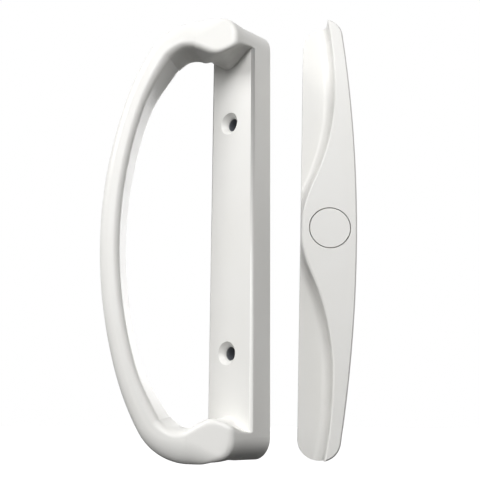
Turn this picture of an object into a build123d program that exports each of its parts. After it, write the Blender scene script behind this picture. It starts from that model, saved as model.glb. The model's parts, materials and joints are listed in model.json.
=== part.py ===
from build123d import *

import os
from math import cos, radians, sin

# Sliding patio door handle set: inside D handle and outside pull, shown side by side.
# Frame: X to the right, Y back toward the door, Z up, millimetres. The door face is
# Y = 0 and the origin is the middle of the two screw holes.
os.makedirs("parts", exist_ok=True)

# Shared by both halves
SCREW_SPACING = 100.0
SCREW_HOLE_D = 5.7
POST_THREAD_D = 5.0

# Inside handle: base plate, its middle BASE_X to the right of the screws
BASE_X = 1.6
BASE_W = 25.0
BASE_T = 11.2
BASE_H = 185.0
BASE_CORNER_R = 9.0
BASE_EDGE_R = 1.2
BASE_WALL = 2.4
FRONT_WALL = 3.0
HEAD_SINK_D = 9.8
BOSS_D = 11.0

# Inside handle: end posts, and the axis that the grip turns about as it leaves them
POST_H = 11.0
POST_ARCH = 6.0
POST_ARCH_X = 1.5
FAN_R = 3.0
FAN_LEAD = 2.8
KNOB_AT = 24.0
KNOB_W = 23.0
KNOB_RISE = 1.0
KNOB_BACK_DROP = 2.0
KNOB_DROP = 5.0
KNOB_NOSE = (3.6, 7.6)

# Inside handle: D grip, leaning GRIP_TURN degrees out of the door's normal
GRIP_TURN = 54.0
GRIP_OUT = 59.6
GRIP_X = 7.94
GRIP_W = 14.4
GRIP_THICK = 8.9
GRIP_NOSE = (4.1, 4.1)
BOW_ANGLE = 17.5
SLOW_R = 116.0
SLOW_TO = 30.0
CORNER_AT = (30.0, 48.0, 72.0, 90.0)
CROWN = 0.6
BACK_BEVEL = 1.6
ARM_RISE = 1.5
ARM_W = 17.2
ARM_THICK = 12.5
ARM_BACK_DROP = 2.4
ARM_NOSE = (3.0, 4.6)

# Outside pull, turned and leaning as it stands beside the handle
PULL_TURN = 43.0
PULL_LEAN = 1.25
PULL_CENTRE = (33.3, 16.5, 2.9)
PULL_H = 192.0
PULL_LEFT = 11.7
PULL_BOW = 11.5
PULL_END_R = 8.4
PULL_T = 15.0
PULL_RIM_T = 3.2
PULL_WALL = 2.4
PULL_EDGE = 0.6
SCOOP_ROOT_R = 4.0
PULL_POST_D = 9.0
PULL_POST_X = 0.5
PULL_POST_OUT = 10.0
POST_THREAD_DEPTH = 12.0

# Outside pull: points on the upper half of the face, from the pull's middle
CREST_START_Y = 6.0
CREST_TURN = (-7.4, 20.0)
CREST_WIDE = (1.7, 62.0)
CREST_FROM = 8.0
CREST_TO = 78.0
HOLLOW_TIP = (4.4, 43.0)

# Plug in the key cylinder hole
HOLE_D = 17.8
PLUG_GAP = 0.45
PLUG_T = 3.0
RING_WALL = 1.5
SEAT_DEPTH = 5.5
SEAT_HOLE_D = 13.5

# Heights that follow from the base's length
POST_SIDE_Z = BASE_H / 2 - POST_H
POST_LOW_Z = POST_SIDE_Z - POST_ARCH
ARM_Z = BASE_H / 2 + ARM_RISE

# Directions in the leaning plane of the D: along its arms, and square to the plane
ARM_DIR = Vector(-sin(radians(GRIP_TURN)), -cos(radians(GRIP_TURN)), 0)
WIDE_DIR = Vector(cos(radians(GRIP_TURN)), -sin(radians(GRIP_TURN)), 0)
FAN_PIVOT = Vector(BASE_X - BASE_W / 2 - FAN_R, -BASE_T - FAN_LEAD, 0)

# Outside of the D: bow, slow arc, corner arc, then straight into the arm. The bow's
# radius is the one that brings this chain out at the arm's height.
ARM_X = FAN_PIVOT.dot(WIDE_DIR) + FAN_R
ARM_S = FAN_PIVOT.dot(ARM_DIR)
CORNER_RISE = (1 - sin(radians(SLOW_TO))) / cos(radians(SLOW_TO))
SLOW_RISE = SLOW_R * (sin(radians(SLOW_TO)) - sin(radians(BOW_ANGLE)))
SLOW_RUN = SLOW_R * (cos(radians(BOW_ANGLE)) - cos(radians(SLOW_TO)))
BOW_R = (ARM_Z - SLOW_RISE - CORNER_RISE * (GRIP_OUT - SLOW_RUN - ARM_S)) / (
    sin(radians(BOW_ANGLE)) - CORNER_RISE * (1 - cos(radians(BOW_ANGLE)))
)
BOW_S = GRIP_OUT - BOW_R * (1 - cos(radians(BOW_ANGLE)))
BOW_Z = BOW_R * sin(radians(BOW_ANGLE))
SLOW_S = BOW_S - SLOW_RUN
SLOW_Z = BOW_Z + SLOW_RISE
CORNER_R = (SLOW_S - ARM_S) / cos(radians(SLOW_TO))


# Section shapes: start and width, heights of the finger face's back and front and of the
# outside, then the nose's small radius and its depth
BOW_SHAPE = (GRIP_X, GRIP_W, -GRIP_THICK, -GRIP_THICK, 0.0, *GRIP_NOSE)
ARM_SHAPE = (ARM_X, ARM_W, -ARM_THICK - ARM_BACK_DROP, -ARM_THICK, 0.0, *ARM_NOSE)
KNOB_SHAPE = (
    FAN_R,
    KNOB_W,
    POST_SIDE_Z - KNOB_BACK_DROP,
    POST_SIDE_Z - KNOB_DROP,
    BASE_H / 2 + KNOB_RISE,
    *KNOB_NOSE,
)


def fan_plane(angle: float, side: int) -> Plane:
    """Section plane of the grip where it swings off the post, square to the turn."""
    x_dir = Vector(cos(radians(angle)), -sin(radians(angle)), 0)
    return Plane(origin=FAN_PIVOT, x_dir=x_dir, z_dir=x_dir.cross(Vector(0, 0, side)))


def arm_plane(s: float, z: float, angle: float, side: int) -> Plane:
    """Section plane of the grip at s along the arm and z above the middle."""
    y_dir = ARM_DIR * cos(radians(angle)) + Vector(0, 0, side) * sin(radians(angle))
    origin = ARM_DIR * s + Vector(0, 0, side * z)
    return Plane(origin=origin, x_dir=WIDE_DIR, z_dir=WIDE_DIR.cross(y_dir))


def lean_plane(side: int) -> Plane:
    """The D's own leaning plane, x along the arm and y toward the base's end."""
    return Plane(origin=(0, 0, 0), x_dir=ARM_DIR, z_dir=ARM_DIR.cross(Vector(0, 0, side)))


def section(
    plane: Plane,
    x0: float,
    width: float,
    back: float,
    front: float,
    outer: float,
    small_r: float,
    depth: float,
) -> Sketch:
    """Closed grip outline: flat finger face, round nose to the viewer, crowned outside.

    back and front are the heights of the finger face at its back edge and at the nose.
    The nose has a small radius at the finger face and a given depth at the outside.
    """
    end = x0 + width
    tip_z = front + small_r
    shoulder = outer - CROWN
    with BuildSketch(plane) as outline:
        with BuildLine():
            Line((x0, back), (end - small_r, front))
            CenterArc((end - small_r, tip_z), small_r, 270, 90)
            EllipticalCenterArc((end - depth, tip_z), depth, outer - tip_z, 0, arc_size=90)
            crest = (x0 + width / 2, outer - 0.2 * CROWN)
            ThreePointArc((end - depth, outer), crest, (x0 + BACK_BEVEL, shoulder))
            Line((x0 + BACK_BEVEL, shoulder), (x0, shoulder - BACK_BEVEL))
            Line((x0, shoulder - BACK_BEVEL), (x0, back))
        make_face()
    return outline.sketch


def corner_section(angle: float, side: int) -> Sketch:
    """Section of a corner: the bow's at its start, swelling smoothly into the arm's."""
    share = (angle - SLOW_TO) / (90 - SLOW_TO)
    share = share * share * (3 - 2 * share)
    mixed = [first + (last - first) * share for first, last in zip(BOW_SHAPE, ARM_SHAPE)]
    s = SLOW_S + CORNER_R * (cos(radians(angle)) - cos(radians(SLOW_TO)))
    z = SLOW_Z + CORNER_R * (sin(radians(angle)) - sin(radians(SLOW_TO)))
    return section(arm_plane(s, z, angle, side), *mixed)


def post_outline(plane: Plane) -> Sketch:
    """Outline of an end post on the base: straight sides, round corners, arched inside."""
    w = BASE_W / 2
    top = BASE_H / 2
    r = BASE_CORNER_R
    with BuildSketch(plane) as outline:
        with BuildLine():
            Spline(
                (-w, POST_SIDE_Z),
                (POST_ARCH_X, POST_LOW_Z),
                (w, POST_SIDE_Z),
                tangents=[(1, -0.25), (1, 0), (1, 0.25)],
            )
            Line((w, POST_SIDE_Z), (w, top - r))
            RadiusArc((w, top - r), (w - r, top), -r)
            Line((w - r, top), (-w + r, top))
            RadiusArc((-w + r, top), (-w, top - r), -r)
            Line((-w, top - r), (-w, POST_SIDE_Z))
        make_face()
    return outline.sketch


def post_plane(side: int, depth: float) -> Plane:
    """Plane across a post, depth in front of the door, y pointing to the base's end."""
    return Plane(origin=(BASE_X, -depth, 0), x_dir=(1, 0, 0), z_dir=(0, -side, 0))


# Inside handle: one casting of base plate, end posts and D grip
with BuildPart() as inside_handle:
    # plate between the two end posts, its long front edges rounded
    with Locations((BASE_X, -BASE_T / 2, 0)):
        Box(BASE_W, BASE_T, BASE_H - 2 * BASE_CORNER_R)
    long_edges = inside_handle.edges().filter_by(Axis.Z).group_by(Axis.Y)[0]
    fillet(long_edges, BASE_EDGE_R)

    # round ends of the plate, where the posts stand
    for side in (1, -1):
        extrude(post_outline(post_plane(side, 0)), amount=side * BASE_T)

    # each post turns into the arm of the grip through a full, round knob
    for side in (1, -1):
        with BuildLine(Plane.XY.offset(side * ARM_Z)) as turn_path:
            lead = Line((0, -BASE_T), (0, FAN_PIVOT.Y))
            JernArc(lead @ 1, (0, -1), -FAN_PIVOT.X, -GRIP_TURN)
        knuckle = [
            post_outline(post_plane(side, BASE_T)),
            section(fan_plane(KNOB_AT, side), *KNOB_SHAPE),
            section(arm_plane(ARM_S, ARM_Z, 90, side), *ARM_SHAPE),
        ]
        sweep(sections=knuckle, path=turn_path.wires()[0], multisection=True)

    # corners between the slow arcs and the arms
    for side in (1, -1):
        with BuildLine(lean_plane(side)) as corner_path:
            slow_dir = (-sin(radians(SLOW_TO)), cos(radians(SLOW_TO)))
            JernArc((SLOW_S, SLOW_Z), slow_dir, CORNER_R, 90 - SLOW_TO)
        swelling = [corner_section(angle, side) for angle in CORNER_AT]
        sweep(sections=swelling, path=corner_path.line, multisection=True)

    # bow and the slow arc at each end of it, turned about axes square to the leaning D
    bow_centre = arm_plane(GRIP_OUT - BOW_R, 0, 0, 1)
    revolve(
        section(arm_plane(BOW_S, BOW_Z, BOW_ANGLE, 1), *BOW_SHAPE),
        axis=Axis(bow_centre.origin, bow_centre.x_dir),
        revolution_arc=2 * BOW_ANGLE,
    )
    slow_s = BOW_S - SLOW_R * cos(radians(BOW_ANGLE))
    slow_z = BOW_Z - SLOW_R * sin(radians(BOW_ANGLE))
    for side in (1, -1):
        slow_centre = arm_plane(slow_s, slow_z, 0, side)
        revolve(
            section(arm_plane(BOW_S, BOW_Z, BOW_ANGLE, side), *BOW_SHAPE),
            axis=Axis(slow_centre.origin, slow_centre.x_dir * -side),
            revolution_arc=SLOW_TO - BOW_ANGLE,
        )

    # screw holes, sunk for the heads
    with Locations(
        Plane(origin=(0, -BASE_T, SCREW_SPACING / 2), z_dir=(0, -1, 0)),
        Plane(origin=(0, -BASE_T, -SCREW_SPACING / 2), z_dir=(0, -1, 0)),
    ):
        CounterSinkHole(SCREW_HOLE_D / 2, HEAD_SINK_D / 2, depth=BASE_T)

    # hollow back of the casting, a boss left round each screw hole
    with BuildSketch(Plane(origin=(0, 0, 0), x_dir=(1, 0, 0), z_dir=(0, -1, 0))):
        with Locations((BASE_X, 0)):
            RectangleRounded(
                BASE_W - 2 * BASE_WALL, BASE_H - 2 * BASE_WALL, BASE_CORNER_R - BASE_WALL
            )
        with Locations((0, SCREW_SPACING / 2), (0, -SCREW_SPACING / 2)):
            Circle(BOSS_D / 2, mode=Mode.SUBTRACT)
    extrude(amount=BASE_T - FRONT_WALL, mode=Mode.SUBTRACT)
inside_handle.part.label = "inside_handle"
export_step(inside_handle.part, "parts/inside_handle.step")


# Outside pull, in its own plane: x across it, y along it, z out of its face
turn_x = Vector(cos(radians(PULL_TURN)), sin(radians(PULL_TURN)), 0)
pull_z = Vector(sin(radians(PULL_TURN)), -cos(radians(PULL_TURN)), 0)
pull_x = turn_x * cos(radians(PULL_LEAN)) - Vector(0, 0, sin(radians(PULL_LEAN)))
pull_face = Plane(origin=PULL_CENTRE, x_dir=pull_x, z_dir=pull_z)
pull_back = pull_face.offset(-PULL_T)
pull_out = Axis((0, 0, 0), pull_z)

END_Y = PULL_H / 2 - PULL_END_R
END_X = PULL_END_R - PULL_LEFT


def end_point(angle: float) -> tuple[float, float]:
    """Point on the round upper end of the pull, angle from its right-hand side."""
    a = radians(angle)
    return (END_X + PULL_END_R * cos(a), END_Y + PULL_END_R * sin(a))


def on_half(point: tuple[float, float], half: int) -> tuple[float, float]:
    """The same point on the upper (1) or lower (-1) half of the pull."""
    return (point[0], half * point[1])


BOW_TO = end_point(CREST_FROM)
CREST_TIP = end_point(CREST_TO)


def crest_outline(plane: Plane) -> Sketch:
    """Face of the pull: bowed on the right, an S on each scoop, full width at the plug."""
    with BuildSketch(plane) as outline:
        with BuildLine():
            ThreePointArc(on_half(BOW_TO, -1), (PULL_BOW, 0), BOW_TO)
            for half in (1, -1):
                tip = on_half(CREST_TIP, half)
                wide = on_half(CREST_WIDE, half)
                turn_at = on_half(CREST_TURN, half)
                root = (-PULL_LEFT, half * CREST_START_Y)
                RadiusArc(on_half(BOW_TO, half), tip, -half * PULL_END_R)
                TangentArc(wide, tip, tangent=(0, half))
                inner = TangentArc(wide, turn_at, tangent=(0, -half))
                TangentArc(turn_at, root, tangent=inner % 1)
            Line((-PULL_LEFT, CREST_START_Y), (-PULL_LEFT, -CREST_START_Y))
        make_face()
    return outline.sketch


def hollow_outline(plane: Plane) -> Sketch:
    """Hollow of the pull's back, a wall's thickness inside the face."""
    left = -PULL_LEFT + PULL_WALL
    neck = (CREST_TURN[0] + 1.2 * PULL_WALL, CREST_TURN[1])
    with BuildSketch(plane) as outline:
        with BuildLine():
            ThreePointArc(on_half(HOLLOW_TIP, -1), (PULL_BOW - PULL_WALL, 0), HOLLOW_TIP)
            for half in (1, -1):
                root = (left, half * CREST_START_Y)
                Spline(on_half(HOLLOW_TIP, half), on_half(neck, half), root)
            Line((left, CREST_START_Y), (left, -CREST_START_Y))
        make_face()
    return outline.sketch


with BuildPart() as outside_pull:
    # low plate over the whole outline, its left edge the rim of both scoops
    with BuildSketch(pull_back):
        with BuildLine():
            ThreePointArc(on_half(BOW_TO, -1), (PULL_BOW, 0), BOW_TO)
            RadiusArc(BOW_TO, (-PULL_LEFT, END_Y), -PULL_END_R)
            Line((-PULL_LEFT, END_Y), (-PULL_LEFT, -END_Y))
            RadiusArc((-PULL_LEFT, -END_Y), on_half(BOW_TO, -1), -PULL_END_R)
        make_face()
    extrude(amount=PULL_RIM_T)

    # crest standing over it
    extrude(crest_outline(pull_back), amount=PULL_T)

    # hollow back behind the wide part of the face, shallower under the plug's seat
    extrude(hollow_outline(pull_back), amount=PULL_T - SEAT_DEPTH, mode=Mode.SUBTRACT)
    with BuildSketch(pull_back):
        add(hollow_outline(Plane.XY))
        Circle(HOLE_D / 2 + RING_WALL, mode=Mode.SUBTRACT)
    extrude(amount=PULL_T - PULL_WALL, mode=Mode.SUBTRACT)

    # stepped hole for a key cylinder, its ledge the seat of the plug
    with Locations(pull_face):
        Hole(HOLE_D / 2, depth=PLUG_T)
        Hole(SEAT_HOLE_D / 2, depth=PULL_T)

    # threaded post behind each screw hole of the inside handle
    post_places = [(PULL_POST_X, half * SCREW_SPACING / 2) for half in (1, -1)]
    post_ends = pull_back.offset(-PULL_POST_OUT)
    with BuildSketch(post_ends):
        with Locations(*post_places):
            Circle(PULL_POST_D / 2)
    extrude(amount=PULL_POST_OUT + PULL_RIM_T / 2)
    with BuildSketch(post_ends):
        with Locations(*post_places):
            Circle(POST_THREAD_D / 2)
    extrude(amount=POST_THREAD_DEPTH, mode=Mode.SUBTRACT)

    # rounded roots of the scoops, then eased edges round the face
    scoops = [
        scoop
        for scoop in outside_pull.faces().filter_by(pull_out)
        if abs(pull_back.to_local_coords(scoop.center()).Z - PULL_RIM_T) < 0.01
    ]
    walls = [
        edge
        for scoop in scoops
        for edge in scoop.edges().filter_by(GeomType.CIRCLE)
        if abs(pull_back.to_local_coords(edge.center()).Y) < END_Y
    ]
    fillet(walls, SCOOP_ROOT_R)
    face = outside_pull.faces().filter_by(pull_out).sort_by(pull_out)[-1]
    chamfer(face.outer_wire().edges(), PULL_EDGE)
outside_pull.part.label = "outside_pull"
export_step(outside_pull.part, "parts/outside_pull.step")


# Blank plug that fills the key cylinder hole, flush with the face
with BuildPart() as cylinder_hole_plug:
    with BuildSketch(pull_face.offset(-PLUG_T)):
        Circle(HOLE_D / 2 - PLUG_GAP)
    extrude(amount=PLUG_T)
cylinder_hole_plug.part.label = "cylinder_hole_plug"
export_step(cylinder_hole_plug.part, "parts/cylinder_hole_plug.step")
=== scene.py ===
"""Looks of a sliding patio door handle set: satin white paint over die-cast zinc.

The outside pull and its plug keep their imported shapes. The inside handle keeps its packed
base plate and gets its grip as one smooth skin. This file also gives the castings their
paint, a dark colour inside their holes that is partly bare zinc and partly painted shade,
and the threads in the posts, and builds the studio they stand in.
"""

import json
import logging
import math
from dataclasses import dataclass, field, fields
from enum import Enum

import bpy
import numpy as np
from mathutils import Matrix, Vector

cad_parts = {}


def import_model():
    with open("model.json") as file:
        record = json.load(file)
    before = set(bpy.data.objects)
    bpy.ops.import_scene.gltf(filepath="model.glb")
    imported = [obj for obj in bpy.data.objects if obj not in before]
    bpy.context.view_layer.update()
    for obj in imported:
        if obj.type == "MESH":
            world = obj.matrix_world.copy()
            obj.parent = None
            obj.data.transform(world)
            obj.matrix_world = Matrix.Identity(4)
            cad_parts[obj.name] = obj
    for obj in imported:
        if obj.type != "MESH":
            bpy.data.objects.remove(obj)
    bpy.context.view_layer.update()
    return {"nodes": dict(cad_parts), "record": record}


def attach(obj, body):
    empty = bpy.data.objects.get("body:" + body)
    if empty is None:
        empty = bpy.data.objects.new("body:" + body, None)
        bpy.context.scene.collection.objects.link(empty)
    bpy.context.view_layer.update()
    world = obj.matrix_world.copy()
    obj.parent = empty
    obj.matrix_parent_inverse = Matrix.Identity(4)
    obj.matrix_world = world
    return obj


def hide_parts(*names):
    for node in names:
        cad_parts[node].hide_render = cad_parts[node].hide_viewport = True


LOG = logging.getLogger("handle_set")
MM = 0.001
PHOTO_PX = 480
SINK_FLOOR = 8.8 * MM
SCREW_BORE_DEPTH = 12 * MM
POST_BORE_SPARE_MM = 0.1
BORE_MARGIN = 0.15 * MM


class Slot(Enum):
    """Material slots of the record."""

    HANDLE = "handle_paint"
    PULL = "pull_paint"
    PLUG = "plug_paint"


@dataclass(frozen=True)
class Bore:
    """A round hole whose inside is coloured dark: bare zinc that the paint does not reach, and
    painted shade.

    Attributes:
        mouth: point on the hole's axis where the dark colour of bare zinc and painted shade starts.
        inward: unit direction from the mouth into the metal.
        radius: distance from the axis that still counts as inside, in metres.
        depth: length of the hole beyond the mouth, in metres.
    """

    mouth: Vector
    inward: Vector
    radius: float
    depth: float


@dataclass(frozen=True)
class SatinPaint:
    """Baked satin paint on a zinc casting.

    Attributes:
        name: name of the material.
        colour: linear base colour of clean paint.
        warm: linear colour that the paint drifts to in broad soft patches.
        metal: linear colour inside the holes: bare cast zinc, darkened further as painted shade for
            the little light that reaches in.
        roughness: mean roughness of the paint.
        bare_roughness: roughness of the bare metal.
        coat: weight of the paint's glossy skin.
        coat_roughness: roughness of that skin.
        patch_size: size of one warm patch, in metres.
        rub_size: size of one patch that hands have rubbed, in metres.
        rub_spread: difference in roughness between the patches.
        peel_size: size of one orange-peel ripple, in metres.
        peel_depth: height of the ripples, in metres.
        peel_strength: share of that height that shows.
        bore_fade: depth over which the paint gives way to the dark of bare zinc and painted shade,
            in metres.
        bores: holes that show bare metal inside.
    """

    name: str
    colour: tuple[float, float, float] = (0.86, 0.855, 0.835)
    warm: tuple[float, float, float] = (0.82, 0.81, 0.775)
    metal: tuple[float, float, float] = (0.11, 0.115, 0.13)
    roughness: float = 0.4
    bare_roughness: float = 0.6
    coat: float = 0.18
    coat_roughness: float = 0.22
    patch_size: float = 24 * MM
    rub_size: float = 9 * MM
    rub_spread: float = 0.12
    peel_size: float = 0.9 * MM
    peel_depth: float = 0.012 * MM
    peel_strength: float = 0.35
    bore_fade: float = 0.8 * MM
    bores: tuple[Bore, ...] = field(default_factory=tuple)

    def build(self) -> bpy.types.Material:
        """Makes the material.

        Returns:
            The finished node material.
        """
        material = bpy.data.materials.new(self.name)
        material.use_nodes = True
        tree = material.node_tree
        shader = tree.nodes["Principled BSDF"]
        place = tree.nodes.new("ShaderNodeTexCoord").outputs["Object"]
        inside = self._inside_bores(tree, place)
        self._link_colour(tree, shader, place, inside)
        self._link_roughness(tree, shader, place, inside)
        self._link_peel(tree, shader, place)
        shader.inputs["Coat Weight"].default_value = self.coat
        shader.inputs["Coat Roughness"].default_value = self.coat_roughness
        return material

    def _noise(
        self, tree: bpy.types.NodeTree, place: bpy.types.NodeSocket, size: float, detail: float
    ) -> bpy.types.NodeSocket:
        """Adds a noise texture.

        Args:
            tree: node tree to add to.
            place: vector socket with the point, in metres.
            size: size of one patch, in metres.
            detail: octaves of finer noise on top.

        Returns:
            The noise value socket.
        """
        noise = tree.nodes.new("ShaderNodeTexNoise")
        noise.inputs["Scale"].default_value = 1 / size
        noise.inputs["Detail"].default_value = detail
        tree.links.new(place, noise.inputs["Vector"])
        return noise.outputs["Fac"]

    def _math(
        self, tree: bpy.types.NodeTree, operation: str, first: object, second: object
    ) -> bpy.types.NodeSocket:
        """Adds a math node.

        Args:
            tree: node tree to add to.
            operation: name of the math operation.
            first: socket or number for the first input.
            second: socket or number for the second input.

        Returns:
            The result socket.
        """
        node = tree.nodes.new("ShaderNodeMath")
        node.operation = operation
        for socket, value in zip(node.inputs, (first, second)):
            if isinstance(value, bpy.types.NodeSocket):
                tree.links.new(value, socket)
            else:
                socket.default_value = value
        return node.outputs["Value"]

    def _inside_bores(
        self, tree: bpy.types.NodeTree, place: bpy.types.NodeSocket
    ) -> bpy.types.NodeSocket | None:
        """Builds a mask that is 1 inside the holes and 0 on the paint.

        Args:
            tree: node tree to add to.
            place: vector socket with the point, in metres.

        Returns:
            The mask socket, or None where there are no holes.
        """
        mask = None
        for bore in self.bores:
            one = self._inside_bore(tree, place, bore)
            mask = one if mask is None else self._math(tree, "MAXIMUM", mask, one)
        return mask

    def _inside_bore(
        self, tree: bpy.types.NodeTree, place: bpy.types.NodeSocket, bore: Bore
    ) -> bpy.types.NodeSocket:
        """Builds the mask of one hole.

        Args:
            tree: node tree to add to.
            place: vector socket with the point, in metres.
            bore: the hole.

        Returns:
            The mask socket.
        """
        offset = tree.nodes.new("ShaderNodeVectorMath")
        offset.operation = "SUBTRACT"
        offset.inputs[1].default_value = bore.mouth
        tree.links.new(place, offset.inputs[0])
        inward = tree.nodes.new("ShaderNodeVectorMath")
        inward.operation = "DOT_PRODUCT"
        inward.inputs[1].default_value = bore.inward
        tree.links.new(offset.outputs["Vector"], inward.inputs[0])
        depth = inward.outputs["Value"]
        distance = tree.nodes.new("ShaderNodeVectorMath")
        distance.operation = "LENGTH"
        tree.links.new(offset.outputs["Vector"], distance.inputs[0])
        length = distance.outputs["Value"]
        squared = self._math(tree, "MULTIPLY", length, length)
        along = self._math(tree, "MULTIPLY", depth, depth)
        across = self._math(tree, "SUBTRACT", squared, along)
        beside = self._math(tree, "LESS_THAN", across, bore.radius**2)
        above = self._math(tree, "LESS_THAN", depth, bore.depth)
        fade = tree.nodes.new("ShaderNodeMapRange")
        fade.inputs["From Max"].default_value = self.bore_fade
        tree.links.new(depth, fade.inputs["Value"])
        near = self._math(tree, "MULTIPLY", beside, above)
        return self._math(tree, "MULTIPLY", near, fade.outputs["Result"])

    def _link_colour(
        self,
        tree: bpy.types.NodeTree,
        shader: bpy.types.Node,
        place: bpy.types.NodeSocket,
        inside: bpy.types.NodeSocket | None,
    ) -> None:
        """Links the base colour: clean paint, warm patches, and dark bare zinc with painted shade
        in the holes.

        Args:
            tree: node tree to add to.
            shader: the Principled shader.
            place: vector socket with the point, in metres.
            inside: mask of the holes, or None.
        """
        patches = self._noise(tree, place, self.patch_size, detail=3)
        paint = tree.nodes.new("ShaderNodeMix")
        paint.data_type = "RGBA"
        paint.inputs["A"].default_value = (*self.colour, 1)
        paint.inputs["B"].default_value = (*self.warm, 1)
        tree.links.new(patches, paint.inputs["Factor"])
        colour = paint.outputs["Result"]
        # Painted shade: the holes get a dark colour, partly bare zinc and partly the shade that
        # falls deep inside them.
        if inside is not None:
            in_bore = tree.nodes.new("ShaderNodeMix")
            in_bore.data_type = "RGBA"
            in_bore.inputs["B"].default_value = (*self.metal, 1)
            tree.links.new(inside, in_bore.inputs["Factor"])
            tree.links.new(colour, in_bore.inputs["A"])
            colour = in_bore.outputs["Result"]
        tree.links.new(colour, shader.inputs["Base Color"])

    def _link_roughness(
        self,
        tree: bpy.types.NodeTree,
        shader: bpy.types.Node,
        place: bpy.types.NodeSocket,
        inside: bpy.types.NodeSocket | None,
    ) -> None:
        """Links the roughness: handled patches a little glossier, bare metal rougher.

        Args:
            tree: node tree to add to.
            shader: the Principled shader.
            place: vector socket with the point, in metres.
            inside: mask of the holes, or None.
        """
        patches = self._noise(tree, place, self.rub_size, detail=4)
        spread = self._math(tree, "MULTIPLY", patches, self.rub_spread)
        rough = self._math(tree, "ADD", spread, self.roughness - self.rub_spread / 2)
        if inside is not None:
            in_bore = self._math(tree, "MULTIPLY", inside, self.bare_roughness)
            rough = self._math(tree, "MAXIMUM", rough, in_bore)
        tree.links.new(rough, shader.inputs["Roughness"])

    def _link_peel(
        self,
        tree: bpy.types.NodeTree,
        shader: bpy.types.Node,
        place: bpy.types.NodeSocket,
    ) -> None:
        """Links the fine orange-peel ripple of sprayed paint.

        Args:
            tree: node tree to add to.
            shader: the Principled shader.
            place: vector socket with the point, in metres.
        """
        ripple = self._noise(tree, place, self.peel_size, detail=2)
        bump = tree.nodes.new("ShaderNodeBump")
        bump.inputs["Strength"].default_value = self.peel_strength
        bump.inputs["Distance"].default_value = self.peel_depth
        tree.links.new(ripple, bump.inputs["Height"])
        tree.links.new(bump.outputs["Normal"], shader.inputs["Normal"])


@dataclass(frozen=True)
class Key:
    """Shape of the grip's section at one place on its way from post to bow, in mm.

    Attributes:
        turn: place on the way: degrees round the post, then degrees down the D.
        front: height of the finger face at the nose, from the D's outer line.
        back: height of the finger face at its back edge, from the same line.
        arch: how far the finger face bulges between the two.
        top: height of the outside, from the same line.
        top_wide: width of the nose's upper rounding.
        top_high: height of the nose's upper rounding.
        back_round: radius of the outside's back edge.
        edge: size of the nose's rounding at the finger face.
    """

    turn: float
    front: float
    back: float
    arch: float
    top: float
    top_wide: float
    top_high: float
    back_round: float
    edge: float


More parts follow.
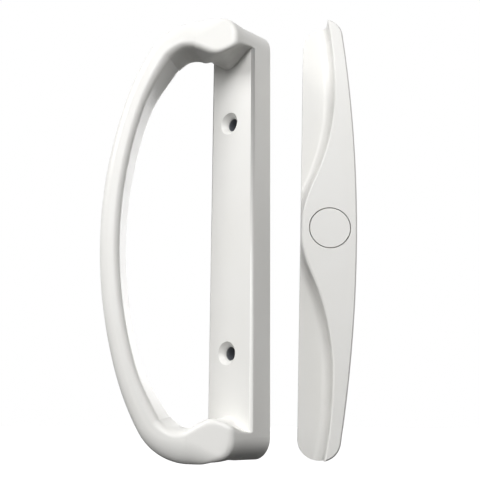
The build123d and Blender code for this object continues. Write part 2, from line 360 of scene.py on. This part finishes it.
@dataclass(frozen=True)
class GripShape:
    """The grip as one smooth skin, from the upper post round the D to the lower post.

    Lengths are in millimetres. The way from post to bow is counted in degrees: straight
    off the plate below 0, round the turning axis as far as turn, then 90 more down the D.

    Attributes:
        base_x: middle of the base plate.
        base_w: width of the base plate and of the posts.
        base_t: thickness of the base plate.
        end_r: radius of the posts' corners.
        lead: how far the posts stand straight before the grip turns.
        pivot_gap: distance of the turning axis from the post's back side.
        turn: degrees that the D leans out.
        nose_at: distance from the turning axis to the flat of the knob.
        nose_facing: degrees that the flat of the knob faces round to the right.
        arm_z: height of the D's outer line at the arms.
        out: reach of the D's outer line.
        slow_r: radius of the slow arcs above and below the bow.
        slow_to: degrees where the slow arcs end and the corners start.
        bow_to: degrees where the bow ends.
        bow_back: distance from the turning axis to the bow's back side.
        bow_nose: distance from the turning axis to the bow's nose.
        nose_fade: length over which the nose settles after the knob.
        back_settle: degrees down the D over which the back side settles.
        crown: how far the outside falls toward its back edge.
        knob_edge: size of the rounding at the knob's right-hand edge.
        back_edge: size of the rounding between the outside and the back side.
        bulge_lean: power that moves the finger face's bulge toward the nose.
        fade_end: degrees where the post's corner has left the knob.
        fade_over: degrees over which it leaves.
        fade_depth: how far it moves away.
        key_spread: degrees over which the keys are blended, either way.
        plain_rings: sections at the plate that keep the first key's shape.
        lead_steps: sections of the straight stretch off the plate.
        post_step: degrees between sections round the post.
        corner_step: degrees between sections round the D's corner.
        bow_step: degrees between sections down the D's side.
        around: points round each section.
        reach: farthest that a section can reach from its middle.
        halvings: steps of the search for a section's edge.
        keys: shape of the section along the way.
    """

    base_x: float = 1.6
    base_w: float = 25.0
    base_t: float = 11.2
    end_r: float = 9.0
    lead: float = 2.8
    pivot_gap: float = 3.0
    turn: float = 54.0
    nose_at: float = 20.06
    nose_facing: float = 27.8
    arm_z: float = 94.0
    out: float = 59.55
    slow_r: float = 116.0
    slow_to: float = 30.0
    bow_to: float = 17.5
    bow_back: float = 4.8
    bow_nose: float = 19.2
    nose_fade: float = 7.4
    back_settle: float = 60.0
    crown: float = 1.0
    knob_edge: float = 2.4
    back_edge: float = 0.2
    bulge_lean: float = 0.85
    fade_end: float = 44.0
    fade_over: float = 16.0
    fade_depth: float = 3.0
    key_spread: int = 5
    plain_rings: int = 2
    lead_steps: int = 5
    post_step: float = 1.2
    corner_step: float = 1.6
    bow_step: float = 0.8
    around: int = 128
    reach: float = 45.0
    halvings: int = 28
    keys: tuple[Key, ...] = (
        Key(-6, -12.5, -12.5, 6.0, -1.5, 2.5, 3.0, 9.0, 0.3),
        Key(0, -12.7, -12.5, 5.6, -1.5, 2.5, 3.0, 8.0, 1.0),
        Key(8, -13.9, -12.9, 4.0, -1.1, 2.5, 3.0, 6.0, 2.4),
        Key(16, -15.9, -13.5, 2.2, -0.6, 2.5, 3.0, 4.0, 3.2),
        Key(22, -17.4, -14.0, 1.0, -0.4, 2.5, 3.4, 3.0, 3.2),
        Key(30, -18.5, -14.3, 0.0, -0.2, 3.0, 5.0, 2.4, 3.0),
        Key(42, -16.1, -14.5, 0.0, 0.0, 4.0, 8.0, 1.8, 3.0),
        Key(54, -13.6, -14.3, 0.0, 0.0, 4.6, 9.5, 2.6, 3.0),
        Key(69, -12.5, -13.9, 0.0, 0.0, 4.6, 9.0, 2.6, 3.0),
        Key(84, -11.3, -13.5, 0.0, 0.0, 4.6, 7.5, 2.6, 3.0),
        Key(99, -10.6, -13.8, 0.0, 0.0, 4.4, 6.2, 2.6, 3.0),
        Key(114, -9.8, -13.4, 0.0, 0.0, 4.2, 5.2, 2.6, 3.0),
        Key(119, -9.4, -11.9, 0.0, 0.0, 4.1, 5.0, 2.6, 3.0),
        Key(127, -9.0, -9.2, 0.0, 0.0, 4.1, 4.8, 2.6, 3.0),
        Key(144, -8.9, -8.9, 0.0, 0.0, 4.1, 4.8, 2.6, 3.0),
    )

    def _way(self) -> list[float]:
        """Lists the places of the sections.

        Returns:
            Degrees on the way, from the plate to the middle of the bow.
        """
        steps =[self._lead_turn * (1 - i / self.lead_steps) for i in range(self.lead_steps)]
        steps += list(np.arange(0.0, self.turn, self.post_step))
        corner_end = self.turn + 90 - self.slow_to
        steps += list(np.arange(self.turn, corner_end, self.corner_step))
        steps += list(np.arange(corner_end, self.turn + 90, self.bow_step))
        return steps + [self.turn + 90.0]

    @property
    def _lead_turn(self) -> float:
        """The first key's place, where the post leaves the plate."""
        return self.keys[0].turn

    def _outer_line(self) -> tuple[float, float, float, float]:
        """Works out the D's outer line.

        Returns:
            Bow radius, corner radius, and the slow arc's end, along the arm and up.
        """
        pivot = self._pivot
        lean = math.radians(self.turn)
        arm_s = -pivot[0] * math.sin(lean) - pivot[1] * math.cos(lean)
        slow, bow = math.radians(self.slow_to), math.radians(self.bow_to)
        rise = (1 - math.sin(slow)) / math.cos(slow)
        slow_rise = self.slow_r * (math.sin(slow) - math.sin(bow))
        slow_run = self.slow_r * (math.cos(bow) - math.cos(slow))
        bow_r = (self.arm_z - slow_rise - rise * (self.out - slow_run - arm_s)) / (
            math.sin(bow) - rise * (1 - math.cos(bow))
        )
        slow_s = self.out - bow_r * (1 - math.cos(bow)) - slow_run
        slow_z = bow_r * math.sin(bow) + slow_rise
        corner_r = (slow_s - arm_s) / math.cos(slow)
        return bow_r, corner_r, slow_s, slow_z

    @property
    def _pivot(self) -> tuple[float, float]:
        """The turning axis, seen from above."""
        return (self.base_x - self.base_w / 2 - self.pivot_gap, -self.base_t - self.lead)

    def _plane(self, place: float) -> tuple[Vector, Vector, Vector]:
        """Finds the section plane at a place on the way.

        Args:
            place: degrees on the way from the post to the bow.

        Returns:
            Its origin, its width direction and its height direction.
        """
        px, py = self._pivot
        if place <= self.turn:
            angle = self._turned(place)
            behind = self.lead * min(place, 0.0) / self._lead_turn
            across = Vector((math.cos(angle), -math.sin(angle), 0))
            return Vector((px, py + behind, self.arm_z)), across, Vector((0, 0, 1))
        lean = math.radians(self.turn)
        arm = Vector((-math.sin(lean), -math.cos(lean), 0))
        wide = Vector((math.cos(lean), -math.sin(lean), 0))
        bow_r, corner_r, slow_s, slow_z = self._outer_line()
        down = 90 + self.turn - place
        slow, bow, here = (math.radians(v) for v in (self.slow_to, self.bow_to, down))
        if down > self.slow_to:
            s = slow_s + corner_r * (math.cos(here) - math.cos(slow))
            z = slow_z + corner_r * (math.sin(here) - math.sin(slow))
        elif down > self.bow_to:
            s = slow_s + self.slow_r * (math.cos(here) - math.cos(slow))
            z = slow_z + self.slow_r * (math.sin(here) - math.sin(slow))
        else:
            s = self.out - bow_r * (1 - math.cos(here))
            z = bow_r * math.sin(here)
        up = arm * math.cos(here) + Vector((0, 0, 1)) * math.sin(here)
        side = Vector((px, py, 0)).dot(wide)
        return arm * s + Vector((0, 0, z)) + wide * side, wide, up

    def _keys_at(self, places: list[float]) -> list[Key]:
        """Blends the keys smoothly over the places.

        Args:
            places: degrees on the way, rising.

        Returns:
            The key at each place.
        """
        turns = [key.turn for key in self.keys]
        columns = []
        for item in fields(Key)[1:]:
            values = [getattr(key, item.name) for key in self.keys]
            shifts = range(-self.key_spread, self.key_spread + 1)
            near = [np.interp(np.array(places) + shift, turns, values) for shift in shifts]
            column = np.mean(near, axis=0)
            column[: self.plain_rings] = values[0]
            columns.append(column)
        return [Key(place, *row) for place, row in zip(places, zip(*columns))]

    def _turned(self, place: float) -> float:
        """Angle round the turning axis at a place on the way, in radians."""
        return math.radians(min(max(place, 0.0), self.turn))

    def _nose(self, place: float) -> float:
        """Finds the nose at a place on the way.

        Args:
            place: degrees on the way from the post to the bow.

        Returns:
            Its distance from the turning axis.
        """
        angle = self._turned(place)
        facing = math.radians(90 - self.nose_facing)
        toward = math.cos(facing) * math.cos(angle) + math.sin(facing) * math.sin(angle)
        knob = self.nose_at / toward
        if place <= self.turn:
            return knob
        corner_r = self._outer_line()[1]
        travel = math.radians(place - self.turn) * corner_r
        return self.bow_nose + (knob - self.bow_nose) * math.exp(-travel / self.nose_fade)

    def _sides(self, place: float) -> tuple[float, float, float]:
        """Finds how wide the section is at a place on the way.

        Args:
            place: degrees on the way from the post to the bow.

        Returns:
            Distances from the turning axis to its back side, to its nose and to its
            right-hand end, which is the post's own side where that comes first.
        """
        settle = min(max((place - self.turn) / self.back_settle, 0.0), 1.0)
        left = self.pivot_gap + (self.bow_back - self.pivot_gap) * settle
        nose = self._nose(place)
        if place > self.turn:
            return left, nose, nose
        post = (self.base_w + self.pivot_gap) / math.cos(self._turned(place))
        return left, nose, min(nose, post)

    def _post(self, key: Key, w: np.ndarray, h: np.ndarray) -> np.ndarray:
        """Field of the post's right-hand corner, which leaves the knob as it turns.

        Args:
            key: the section's shape and place.
            w: distances from the turning axis.
            h: heights above the D's outer line.

        Returns:
            The field, negative inside the post.
        """
        half = self.base_w / 2
        x = w * math.cos(self._turned(key.turn)) - self.pivot_gap - half
        post = corner(x - half, h - key.top, self.end_r, self.end_r)
        fade = min(max((self.fade_end - key.turn) / self.fade_over, 0.0), 1.0)
        return post - (1 - fade) * self.fade_depth

    def _section(self, key: Key, w: np.ndarray, h: np.ndarray) -> np.ndarray:
        """Field of the grip's section.

        Args:
            key: the section's shape and place.
            w: distances from the turning axis.
            h: heights above the D's outer line.

        Returns:
            The field, negative inside the grip.
        """
        left, nose, right = self._sides(key.turn)
        share = np.clip((w - left) / (right - left), 0, 1)
        top = key.top - self.crown * min(max(key.turn / self.turn, 0), 1) * (1 - share) ** 2
        skin = corner(w - nose, h - top, key.top_wide, key.top_high)
        if key.turn <= self.turn:
            skin = blend(skin, self._post(key, w, h), self.knob_edge)
        back = corner(left - w, h - top, key.back_round, key.back_round)
        skin = blend(skin, back, self.back_edge)
        bump = np.sin(np.pi * share**self.bulge_lean) ** 2
        finger = key.back + (key.front - key.back) * share - key.arch * bump
        return blend(skin, finger - h, key.edge)

    def ring(self, key: Key) -> list[Vector]:
        """Makes one section.

        Args:
            key: the section's shape and place.

        Returns:
            Points round the section, evenly spaced, from the middle of its back side.
        """
        left, _, right = self._sides(key.turn)
        centre = np.array([(left + right) / 2, (key.top + key.front) / 2])
        angles = np.linspace(math.pi, 3 * math.pi, 4 * self.around, endpoint=False)
        ray = np.stack([np.cos(angles), np.sin(angles)])
        near, far = np.zeros(angles.size), np.full(angles.size, self.reach)
        for _ in range(self.halvings):
            middle = (near + far) / 2
            inside = self._section(key, *(centre[:, None] + ray * middle)) < 0
            near = np.where(inside, middle, near)
            far = np.where(inside, far, middle)
        loop = centre[:, None] + ray * near
        loop = np.concatenate([loop, loop[:, :1]], axis=1)
        run = np.concatenate([[0], np.cumsum(np.hypot(*np.diff(loop, axis=1)))])
        even = np.linspace(0, run[-1], self.around, endpoint=False)
        origin, across, up = self._plane(key.turn)
        return [
            origin + across * w + up * h
            for w, h in zip(np.interp(even, run, loop[0]), np.interp(even, run, loop[1]))
        ]

    def mesh(self) -> bpy.types.Mesh:
        """Makes the closed skin.

        Returns:
            The mesh, in metres.
        """
        upper = [self.ring(key) for key in self._keys_at(self._way())]
        lower = [[Vector((p.x, p.y, -p.z)) for p in ring] for ring in reversed(upper[:-1])]
        rings = upper + lower
        points = [point * MM for ring in rings for point in ring]
        n = self.around
        faces = []
        for i in range(len(rings) - 1):
            for j in range(n):
                k = (j + 1) % n
                faces.append((i * n + j, i * n + k, (i + 1) * n + k, (i + 1) * n + j))
        faces.append(tuple(range(n)))
        faces.append(tuple(reversed(range((len(rings) - 1) * n, len(rings) * n))))
        mesh = bpy.data.meshes.new("grip")
        mesh.from_pydata(points, [], faces)
        mesh.validate()
        return mesh


def corner(a: np.ndarray, b: np.ndarray, wide: float, high: float) -> np.ndarray:
    """Field of a quarter plane a < 0, b < 0 with an elliptical corner.

    Args:
        a: distances past the first side.
        b: distances past the second side.
        wide: reach of the corner's rounding along a.
        high: reach of the corner's rounding along b.

    Returns:
        The field, negative inside.
    """
    qa = a / wide + 1
    qb = b / high + 1
    outer = np.hypot(np.maximum(qa, 0), np.maximum(qb, 0))
    return (outer + np.minimum(np.maximum(qa, qb), 0) - 1) * min(wide, high)


def blend(a: np.ndarray, b: np.ndarray, size: float) -> np.ndarray:
    """Takes the larger of two fields, with the edge between them rounded.

    Args:
        a: the first field.
        b: the second field.
        size: size of the rounding.

    Returns:
        The joined field, negative where both are.
    """
    near = np.maximum(size - np.abs(a - b), 0) / size
    return np.maximum(a, b) + near * near * size / 4


@dataclass
class Handle:
    """The inside handle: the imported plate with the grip's smooth skin on it.

    Attributes:
        node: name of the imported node.
        paint: the paint it wears.
        shape: shape of the grip.
        cutter_reach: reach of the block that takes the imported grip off, in metres.
    """

    node: str
    paint: SatinPaint
    shape: GripShape = field(default_factory=GripShape)
    cutter_reach: float = 0.3

    def build(self, nodes: dict[str, bpy.types.Object]) -> bpy.types.Object:
        """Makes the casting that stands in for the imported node.

        Args:
            nodes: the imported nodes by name.

        Returns:
            The finished piece.
        """
        packed = nodes[self.node]
        piece = bpy.data.objects.new("handle_casting", packed.data.copy())
        piece.matrix_world = packed.matrix_world
        bpy.context.scene.collection.objects.link(piece)
        cutter = self._cutter()
        grip = bpy.data.objects.new("grip", self.shape.mesh())
        bpy.context.scene.collection.objects.link(grip)
        for operation, tool in (("DIFFERENCE", cutter), ("UNION", grip)):
            step = piece.modifiers.new(operation.lower(), "BOOLEAN")
            step.operation = operation
            step.solver = "EXACT"
            step.object = tool
        graph = bpy.context.evaluated_depsgraph_get()
        mesh = bpy.data.meshes.new_from_object(piece.evaluated_get(graph))
        piece.modifiers.clear()
        piece.data = mesh
        for tool in (cutter, grip):
            bpy.data.objects.remove(tool)
        mesh.materials.clear()
        mesh.materials.append(self.paint.build())
        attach(piece, "root")
        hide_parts(self.node)
        LOG.info("handle casting: %d faces", len(mesh.polygons))
        return piece

    def _cutter(self) -> bpy.types.Object:
        """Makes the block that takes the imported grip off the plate.

        Returns:
            The block, which ends at the plate's front.
        """
        size = self.cutter_reach
        mesh = bpy.data.meshes.new("cutter")
        front = -self.shape.base_t * MM
        corners = [
            (x, y, z)
            for x in (-size, size)
            for y in (front - size, front)
            for z in (-size, size)
        ]
        faces = [(0, 1, 3, 2), (4, 6, 7, 5), (0, 4, 5, 1), (2, 3, 7, 6), (0, 2, 6, 4), (1, 5, 7, 3)]
        mesh.from_pydata(corners, [], faces)
        cutter = bpy.data.objects.new("cutter", mesh)
        bpy.context.scene.collection.objects.link(cutter)
        return cutter


@dataclass
class Casting:
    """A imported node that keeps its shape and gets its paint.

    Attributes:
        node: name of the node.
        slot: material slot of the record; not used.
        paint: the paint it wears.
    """

    node: str
    slot: Slot
    paint: SatinPaint

    def dress(self, nodes: dict[str, bpy.types.Object]) -> bpy.types.Object:
        """Puts the paint on the node.

        Args:
            nodes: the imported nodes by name.

        Returns:
            The dressed node.
        """
        piece = nodes[self.node]
        piece.data.materials.clear()
        piece.data.materials.append(self.paint.build())
        LOG.info("painted %s", self.node)
        return piece


@dataclass
class PostThread:
    """The thread cut in a post of the outside pull.

    Attributes:
        name: name of the piece.
        bore: the post's hole.
        paint: the pull's paint, coloured dark inside the bore as bare zinc and painted shade.
        pitch: distance from one ridge to the next, in metres.
        depth: height of the ridge above the bore's wall, in metres.
        crest: half width of the ridge's flat top, in metres.
        root: half width of the ridge where it leaves the wall, in metres.
        seat: how far the ridge's foot is sunk in the wall, in metres.
        start: how far behind the mouth the thread begins, in metres.
        end: how far before the bore's floor it ends, in metres.
        steps: straight pieces in one turn.
    """

    name: str
    bore: Bore
    paint: SatinPaint
    pitch: float = 0.8 * MM
    depth: float = 0.43 * MM
    crest: float = 0.06 * MM
    root: float = 0.36 * MM
    seat: float = 0.04 * MM
    start: float = 0.9 * MM
    end: float = 1.2 * MM
    steps: int = 32

    def build(self) -> bpy.types.Object:
        """Makes the ridge as one closed coil.

        Returns:
            The finished piece.
        """
        along = self.bore.inward
        across = along.orthogonal().normalized()
        up = along.cross(across)
        wall = self.bore.radius - BORE_MARGIN
        section = (
            (wall + self.seat, -self.root),
            (wall - self.depth, -self.crest),
            (wall - self.depth, self.crest),
            (wall + self.seat, self.root),
        )
        turns = (self.bore.depth - self.start - self.end) / self.pitch
        points, faces = [], []
        count = int(turns * self.steps)
        n = len(section)
        for i in range(count + 1):
            angle = 2 * math.pi * i / self.steps
            out = across * math.cos(angle) + up * math.sin(angle)
            travel = self.start + self.pitch * i / self.steps
            points += [self.bore.mouth + out * r + along * (travel + t) for r, t in section]
        for i in range(count):
            for j in range(n):
                k = (j + 1) % n
                faces.append((i * n + j, i * n + k, (i + 1) * n + k, (i + 1) * n + j))
        faces.append(tuple(reversed(range(n))))
        faces.append(tuple(range(count * n, count * n + n)))
        mesh = bpy.data.meshes.new(self.name)
        mesh.from_pydata(points, [], faces)
        mesh.validate()
        mesh.materials.append(self.paint.build())
        piece = bpy.data.objects.new(self.name, mesh)
        bpy.context.scene.collection.objects.link(piece)
        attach(piece, "root")
        LOG.info("%s: %d faces", self.name, len(mesh.polygons))
        return piece


@dataclass
class Lamp:
    """A soft square studio lamp.

    Attributes:
        name: name of the lamp.
        place: where it stands, in metres. It points at the origin.
        power: watts.
        size: side of its square, in metres.
    """

    name: str
    place: tuple[float, float, float]
    power: float
    size: float = 0.4

    def build(self) -> None:
        """Makes the lamp and points it."""
        data = bpy.data.lights.new(self.name, "AREA")
        data.size = self.size
        data.energy = self.power
        lamp = bpy.data.objects.new(self.name, data)
        lamp.location = self.place
        lamp.rotation_euler = (-Vector(self.place)).to_track_quat("-Z", "Y").to_euler()
        bpy.context.scene.collection.objects.link(lamp)


@dataclass
class Studio:
    """Floor, white surroundings, lamps and camera.

    Attributes:
        floor_z: height of the floor, in metres.
        floor_size: side of the square floor, in metres.
        floor_pale: linear grey of the floor where it is seen.
        floor_dim: linear grey of the floor for the light that bounces off it.
        floor_roughness: roughness of the floor.
        fill: strength of the dim light from all round.
        azimuth: degrees that the camera stands round to the right.
        elevation: degrees that the camera stands above the handle's middle.
        roll: degrees that the picture is turned.
        aim: point that the camera stands round, the base plate's middle, in metres.
        distance: from the camera to that point, in metres.
        focal_px: focal length in pixels of the photograph's frame.
        centre_px: pixel that the camera's axis goes through.
        sensor: width of the camera's sensor, in millimetres.
        nearest: distance where the picture starts, in metres.
        lamps: the lamps round the set.
    """

    floor_z: float = -0.14
    floor_size: float = 12.0
    floor_pale: float = 0.3
    floor_dim: float = 0.05
    floor_roughness: float = 0.9
    fill: float = 0.01
    azimuth: float = 43.14
    elevation: float = -12.37
    roll: float = 0.35
    aim: tuple[float, float, float] = (1.6 * MM, 0.0, 0.0)
    distance: float = 0.35907
    focal_px: float = 828.35
    centre_px: tuple[float, float] = (248.61, 238.69)
    sensor: float = 36.0
    nearest: float = 0.01
    lamps: tuple[Lamp, ...] = (
        Lamp("key_left", (-0.35, -0.74, 0.57), 5.2),
        Lamp("key_right", (0.56, -0.6, 0.57), 3.4),
        Lamp("front", (0.4, -0.85, 0.34), 3.1),
        Lamp("back_left", (-0.27, 0.74, 0.14), 1.6),
        Lamp("side", (0.81, -0.14, 0.57), 1.2),
        Lamp("front_low", (0.17, -0.98, 0.09), 0.4),
    )

    def build(self) -> None:
        """Makes everything that stands round the handle set."""
        self._floor()
        self._surroundings()
        for lamp in self.lamps:
            lamp.build()
        self._camera()
        bpy.context.scene.view_settings.view_transform = "Standard"
        LOG.info("studio ready")

    def _floor(self) -> None:
        """Makes the pale floor, dim for bounced light so that undersides stay dark."""
        half = self.floor_size / 2
        mesh = bpy.data.meshes.new("floor")
        signs = ((-1, -1), (1, -1), (1, 1), (-1, 1))
        corners = [(x * half, y * half, self.floor_z) for x, y in signs]
        mesh.from_pydata(corners, [], [(0, 1, 2, 3)])
        floor = bpy.data.objects.new("floor", mesh)
        bpy.context.scene.collection.objects.link(floor)
        material = bpy.data.materials.new("pale_floor")
        material.use_nodes = True
        tree = material.node_tree
        shader = tree.nodes["Principled BSDF"]
        shader.inputs["Roughness"].default_value = self.floor_roughness
        seen = tree.nodes.new("ShaderNodeLightPath").outputs["Is Camera Ray"]
        colour = tree.nodes.new("ShaderNodeMix")
        colour.data_type = "RGBA"
        colour.inputs["A"].default_value = (*[self.floor_dim] * 3, 1)
        colour.inputs["B"].default_value = (*[self.floor_pale] * 3, 1)
        tree.links.new(seen, colour.inputs["Factor"])
        tree.links.new(colour.outputs["Result"], shader.inputs["Base Color"])
        tree.links.new(seen, shader.inputs["Emission Strength"])
        shader.inputs["Emission Color"].default_value = (1, 1, 1, 1)
        mesh.materials.append(material)

    def _surroundings(self) -> None:
        """Makes the world white where it is seen and a dim fill where it lights."""
        world = bpy.data.worlds.new("white_room")
        bpy.context.scene.world = world
        world.use_nodes = True
        tree = world.node_tree
        background = tree.nodes["Background"]
        background.inputs["Color"].default_value = (1, 1, 1, 1)
        path = tree.nodes.new("ShaderNodeLightPath")
        seen = path.outputs["Is Camera Ray"]
        for ray in ("Is Transmission Ray", "Is Glossy Ray"):
            either = tree.nodes.new("ShaderNodeMath")
            either.operation = "MAXIMUM"
            tree.links.new(seen, either.inputs[0])
            tree.links.new(path.outputs[ray], either.inputs[1])
            seen = either.outputs["Value"]
        strength = tree.nodes.new("ShaderNodeMapRange")
        strength.inputs["To Min"].default_value = self.fill
        strength.inputs["To Max"].default_value = 1.0
        tree.links.new(seen, strength.inputs["Value"])
        tree.links.new(strength.outputs["Result"], background.inputs["Strength"])

    def _camera(self) -> None:
        """Makes the camera at the photograph's viewing angle."""
        a, e, r = (math.radians(x) for x in (self.azimuth, self.elevation, self.roll))
        back = Vector((math.sin(a) * math.cos(e), -math.cos(a) * math.cos(e), math.sin(e)))
        level = Vector((math.cos(a), math.sin(a), 0))
        upright = level.cross(-back)
        right = level * math.cos(r) + upright * math.sin(r)
        up = upright * math.cos(r) - level * math.sin(r)
        data = bpy.data.cameras.new("camera")
        data.sensor_width = self.sensor
        data.lens = self.focal_px / PHOTO_PX * data.sensor_width
        data.shift_x = (PHOTO_PX / 2 - self.centre_px[0]) / PHOTO_PX
        data.shift_y = (self.centre_px[1] - PHOTO_PX / 2) / PHOTO_PX
        data.clip_start = self.nearest
        camera = bpy.data.objects.new("camera", data)
        turn = Matrix((right, up, back)).transposed().to_4x4()
        camera.matrix_world = Matrix.Translation(Vector(self.aim) + back * self.distance) @ turn
        bpy.context.scene.collection.objects.link(camera)
        bpy.context.scene.camera = camera


def bores_from(record: dict) -> dict[str, tuple[Bore, ...]]:
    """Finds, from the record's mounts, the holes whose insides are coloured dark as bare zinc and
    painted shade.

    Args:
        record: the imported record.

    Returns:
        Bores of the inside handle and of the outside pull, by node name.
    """
    mounts = {mount["name"]: mount for mount in record["mounts"]}
    pattern = mounts["handle_screws"]
    half = pattern["dims"]["spacing_y_mm"] * MM / 2
    radius = pattern["dims"]["hole_r_mm"] * MM + BORE_MARGIN
    inward = Vector(pattern["axis"])
    screws = tuple(
        Bore(Vector((0, -SINK_FLOOR, side * half)), inward, radius, SCREW_BORE_DEPTH)
        for side in (1, -1)
    )
    posts = tuple(
        Bore(
            Vector(mounts[name]["pos_m"]),
            -Vector(mounts[name]["axis"]),
            mounts[name]["dims"]["r_mm"] * MM + BORE_MARGIN,
            (mounts[name]["dims"]["length_mm"] + POST_BORE_SPARE_MM) * MM,
        )
        for name in ("pull_post_upper", "pull_post_lower")
    )
    return {"inside_handle": screws, "outside_pull": posts}


def main() -> None:
    """Builds the handle set's looks in order."""
    logging.basicConfig(level=logging.INFO, format="%(message)s")
    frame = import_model()
    bores = bores_from(frame["record"])
    Handle("inside_handle", SatinPaint("handle_paint", bores=bores["inside_handle"])).build(
        frame["nodes"]
    )
    castings = (
        Casting(
            "outside_pull",
            Slot.PULL,
            SatinPaint("pull_paint", bores=bores["outside_pull"]),
        ),
        Casting("cylinder_hole_plug", Slot.PLUG, SatinPaint("plug_paint")),
    )
    for casting in castings:
        casting.dress(frame["nodes"])
    # The threads lie inside the bores, so their paint shows the dark colour there: partly bare
    # zinc, partly painted shade.
    for name, bore in zip(("upper_post_thread", "lower_post_thread"), bores["outside_pull"]):
        PostThread(name, bore, SatinPaint(name, bores=(bore,))).build()
    Studio().build()


if __name__ == "__main__":
    main()
